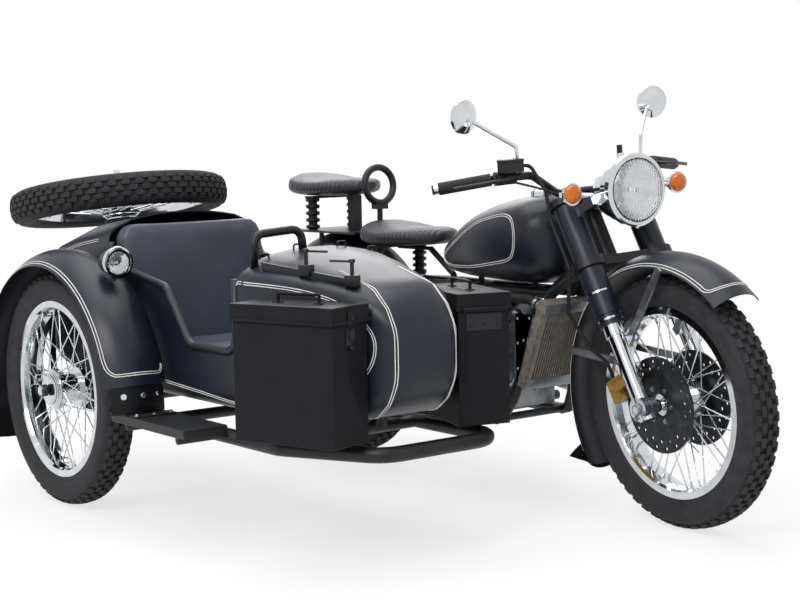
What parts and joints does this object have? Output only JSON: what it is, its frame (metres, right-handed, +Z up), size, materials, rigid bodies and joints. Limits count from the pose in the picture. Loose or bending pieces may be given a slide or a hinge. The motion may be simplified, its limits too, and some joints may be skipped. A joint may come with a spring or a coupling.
{
  "type": "sidecar motorcycle",
  "caption": "Motorcycle with a rounded open sidecar on its right, wire wheels, steered fork, sprung saddles, hinged tool boxes beside the nose and a flat spare wheel on the tail.",
  "frame": {"origin": "middle of the outfit's plan box, on the ground", "axes": "+X forward, +Y to the rider's left (the sidecar is on -Y), +Z up"},
  "size_m": [2.3564, 1.6173, 1.1788],
  "materials": {
    "paint": "satin",
    "black_steel": "satin",
    "box_paint": "satin",
    "chrome": "polished",
    "alloy": "cast, satin",
    "steel": "brushed",
    "disc_steel": "dark, ground",
    "radiator_metal": "dark, matte",
    "gold_paint": "satin",
    "rubber": "matte",
    "tyre": "matte",
    "vinyl": "grained",
    "clear_lens": "clear",
    "amber_lens": "gloss",
    "red_lens": "gloss"
  },
  "bodies": {
    "chassis": {"main_frame": "black_steel", "engine": "alloy", "radiator": "radiator_metal", "coolant_hoses": "rubber", "exhaust": "steel", "fuel_tank": "paint", "rider_saddle": "rubber", "pillion_saddle": "rubber", "saddle_frames": "black_steel", "grab_ring": "black_steel", "rear_mudguard": "paint", "tail_lamp": "red_lens", "rear_drive": "alloy", "sidecar_chassis": "black_steel", "sidecar_tub": "paint", "cockpit_trim": "rubber", "seat_back": "vinyl", "seat_cushion": "vinyl", "grab_rail": "black_steel", "sidecar_mudguard": "paint", "sidecar_lamp": "chrome", "sidecar_lamp_lens": "clear_lens", "step_board": "black_steel", "box_mounts": "black_steel", "right_box": "box_paint", "left_box": "box_paint", "spare_carrier": "black_steel", "spare_stud": "steel", "spare_tyre": "tyre", "spare_wheel": "chrome"},
    "right_box_lid": {"right_box_lid": "box_paint"},
    "left_box_lid": {"left_box_lid": "box_paint"},
    "steering": {"fork_yokes": "black_steel", "fork_shrouds": "paint", "fork_legs": "alloy", "handlebar": "black_steel", "grips": "rubber", "hand_levers": "alloy", "mirrors": "chrome", "headlamp": "chrome", "headlamp_lens": "clear_lens", "indicator_lenses": "amber_lens", "front_mudguard": "paint", "mudguard_stays": "steel", "brake_calipers": "gold_paint", "brake_hose": "rubber"},
    "front_wheel": {"front_tyre": "tyre", "front_wheel": "chrome", "brake_discs": "disc_steel"},
    "rear_wheel": {"rear_tyre": "tyre", "rear_wheel": "chrome"},
    "sidecar_wheel": {"sidecar_tyre": "tyre", "sidecar_wheel": "chrome"}
  },
  "joints": [
    {"name": "steering_turn", "type": "hinge", "parent": "chassis", "child": "steering", "pos_m": [0.79369, 0.36939, 0.31103], "axis": [-0.4848, 0, 0.8746], "range_deg": [-28, 42]},
    {"name": "front_wheel_spin", "type": "hinge", "parent": "steering", "child": "front_wheel", "pos_m": [0.84144, 0.36269, 0.33749], "axis": [0.1066, 0.9925, 0.0591], "continuous": true},
    {"name": "rear_wheel_spin", "type": "hinge", "parent": "chassis", "child": "rear_wheel", "pos_m": [-0.6282, 0.36939, 0.338], "axis": [0, 1, 0], "continuous": true},
    {"name": "sidecar_wheel_spin", "type": "hinge", "parent": "chassis", "child": "sidecar_wheel", "pos_m": [-0.5402, -0.71261, 0.338], "axis": [0, 1, 0], "continuous": true},
    {"name": "right_box_lid_hinge", "type": "hinge", "parent": "chassis", "child": "right_box_lid", "pos_m": [0.36358, -0.66474, 0.61], "axis": [0.309, -0.9511, 0], "range_deg": [0, 110]},
    {"name": "left_box_lid_hinge", "type": "hinge", "parent": "chassis", "child": "left_box_lid", "pos_m": [0.66602, -0.15474, 0.61], "axis": [0.309, 0.9511, 0], "range_deg": [0, 110]}
  ]
}
